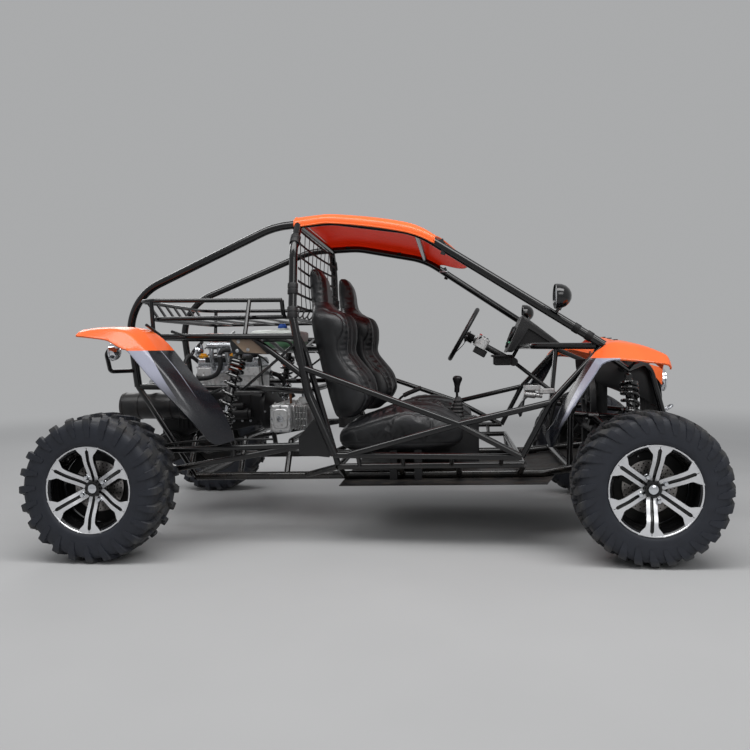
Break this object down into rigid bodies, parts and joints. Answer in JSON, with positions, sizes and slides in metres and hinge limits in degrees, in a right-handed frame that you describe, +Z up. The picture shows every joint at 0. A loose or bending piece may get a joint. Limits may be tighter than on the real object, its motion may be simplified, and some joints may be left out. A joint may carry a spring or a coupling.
{
  "type": "dune buggy",
  "caption": "Open two-seat off-road buggy: welded tube frame with cargo rack, canopy, wings, bucket seats, rear engine, steered front wheels.",
  "frame": {"origin": "on the ground, on the centre line, half way between the axles", "axes": "+X forwards, +Y to the left-hand side, +Z up"},
  "size_m": [3.062, 1.96, 1.5899],
  "materials": {
    "frame_black": "gloss",
    "tyre_rubber": "matte",
    "wheel_alloy": "machined",
    "hub_steel": "cast",
    "body_orange": "gloss",
    "body_black": "gloss",
    "cast_alloy": "cast",
    "muffler_black": "satin",
    "tank_white": "translucent",
    "seat_leather": "soft gloss",
    "trim_black": "fine grain",
    "spring_black": "gloss",
    "bright_steel": "brushed",
    "lamp_chrome": "polished",
    "floor_dark": "satin"
  },
  "bodies": {
    "chassis": {"roof_rails": "frame_black", "main_hoop": "frame_black", "lower_frame": "frame_black", "front_frame": "frame_black", "side_bars": "frame_black", "engine_frame": "frame_black", "cargo_rack": "frame_black", "rack_rail": "frame_black", "rack_hoop": "frame_black", "rack_base": "frame_black", "roof_panel": "body_orange", "front_fenders": "body_orange", "rear_fenders": "body_orange", "nose_panel": "body_orange", "nose_lower": "body_black", "floor_pan": "floor_dark", "engine_block": "cast_alloy", "gearbox": "cast_alloy", "final_drive": "cast_alloy", "fuel_tank": "tank_white", "muffler": "muffler_black", "front_arms": "frame_black", "front_shocks": "spring_black", "rear_arms": "frame_black", "rear_shocks": "spring_black", "rear_calipers": "hub_steel", "half_shafts": "hub_steel", "steering_column": "trim_black", "dashboard": "trim_black", "gear_lever": "trim_black", "centre_console": "trim_black", "seat_backs": "seat_leather", "seat_cushions": "seat_leather", "seat_frames": "trim_black", "mirrors": "trim_black", "tail_lamps": "lamp_chrome", "head_lamps": "lamp_chrome", "towing_eyes": "bright_steel"},
    "front_left_knuckle": {"front_left_knuckle": "hub_steel"},
    "front_right_knuckle": {"front_right_knuckle": "hub_steel"},
    "steering_rack": {"steering_rack": "hub_steel"},
    "steering_wheel": {"steering_wheel": "trim_black"},
    "front_left_wheel": {"front_left_tyre": "tyre_rubber", "front_left_rim": "wheel_alloy"},
    "front_right_wheel": {"front_right_tyre": "tyre_rubber", "front_right_rim": "wheel_alloy"},
    "rear_left_wheel": {"rear_left_tyre": "tyre_rubber", "rear_left_rim": "wheel_alloy"},
    "rear_right_wheel": {"rear_right_tyre": "tyre_rubber", "rear_right_rim": "wheel_alloy"}
  },
  "joints": [
    {"name": "front_left_steer", "type": "hinge", "parent": "chassis", "child": "front_left_knuckle", "pos_m": [1.206, 0.65, 0.325], "axis": [0, 0, 1], "range_deg": [-30, 30]},
    {"name": "front_right_steer", "type": "hinge", "parent": "chassis", "child": "front_right_knuckle", "pos_m": [1.206, -0.65, 0.325], "axis": [0, 0, 1], "range_deg": [-30, 30]},
    {"name": "front_left_wheel_spin", "type": "hinge", "parent": "front_left_knuckle", "child": "front_left_wheel", "pos_m": [1.206, 0.79, 0.325], "axis": [0, 1, 0], "continuous": true},
    {"name": "front_right_wheel_spin", "type": "hinge", "parent": "front_right_knuckle", "child": "front_right_wheel", "pos_m": [1.206, -0.79, 0.325], "axis": [0, 1, 0], "continuous": true},
    {"name": "rear_left_wheel_spin", "type": "hinge", "parent": "chassis", "child": "rear_left_wheel", "pos_m": [-1.206, 0.84, 0.325], "axis": [0, 1, 0], "continuous": true},
    {"name": "rear_right_wheel_spin", "type": "hinge", "parent": "chassis", "child": "rear_right_wheel", "pos_m": [-1.206, -0.84, 0.325], "axis": [0, 1, 0], "continuous": true},
    {"name": "steering_rack_slide", "type": "slide", "parent": "chassis", "child": "steering_rack", "axis": [0, 1, 0], "range_m": [-0.062, 0.062]},
    {"name": "steering_wheel_turn", "type": "hinge", "parent": "chassis", "child": "steering_wheel", "pos_m": [0.442, 0.3, 1.005], "axis": [-0.8679, 0, 0.4968], "range_deg": [-271, 271]}
  ],
  "couplings": [
    {"joint": "front_right_steer", "follows": "front_left_steer", "ratio": 1},
    {"joint": "steering_rack_slide", "follows": "front_left_steer", "m_per_rad": -0.112},
    {"joint": "steering_wheel_turn", "follows": "front_left_steer", "ratio": 9}
  ]
}
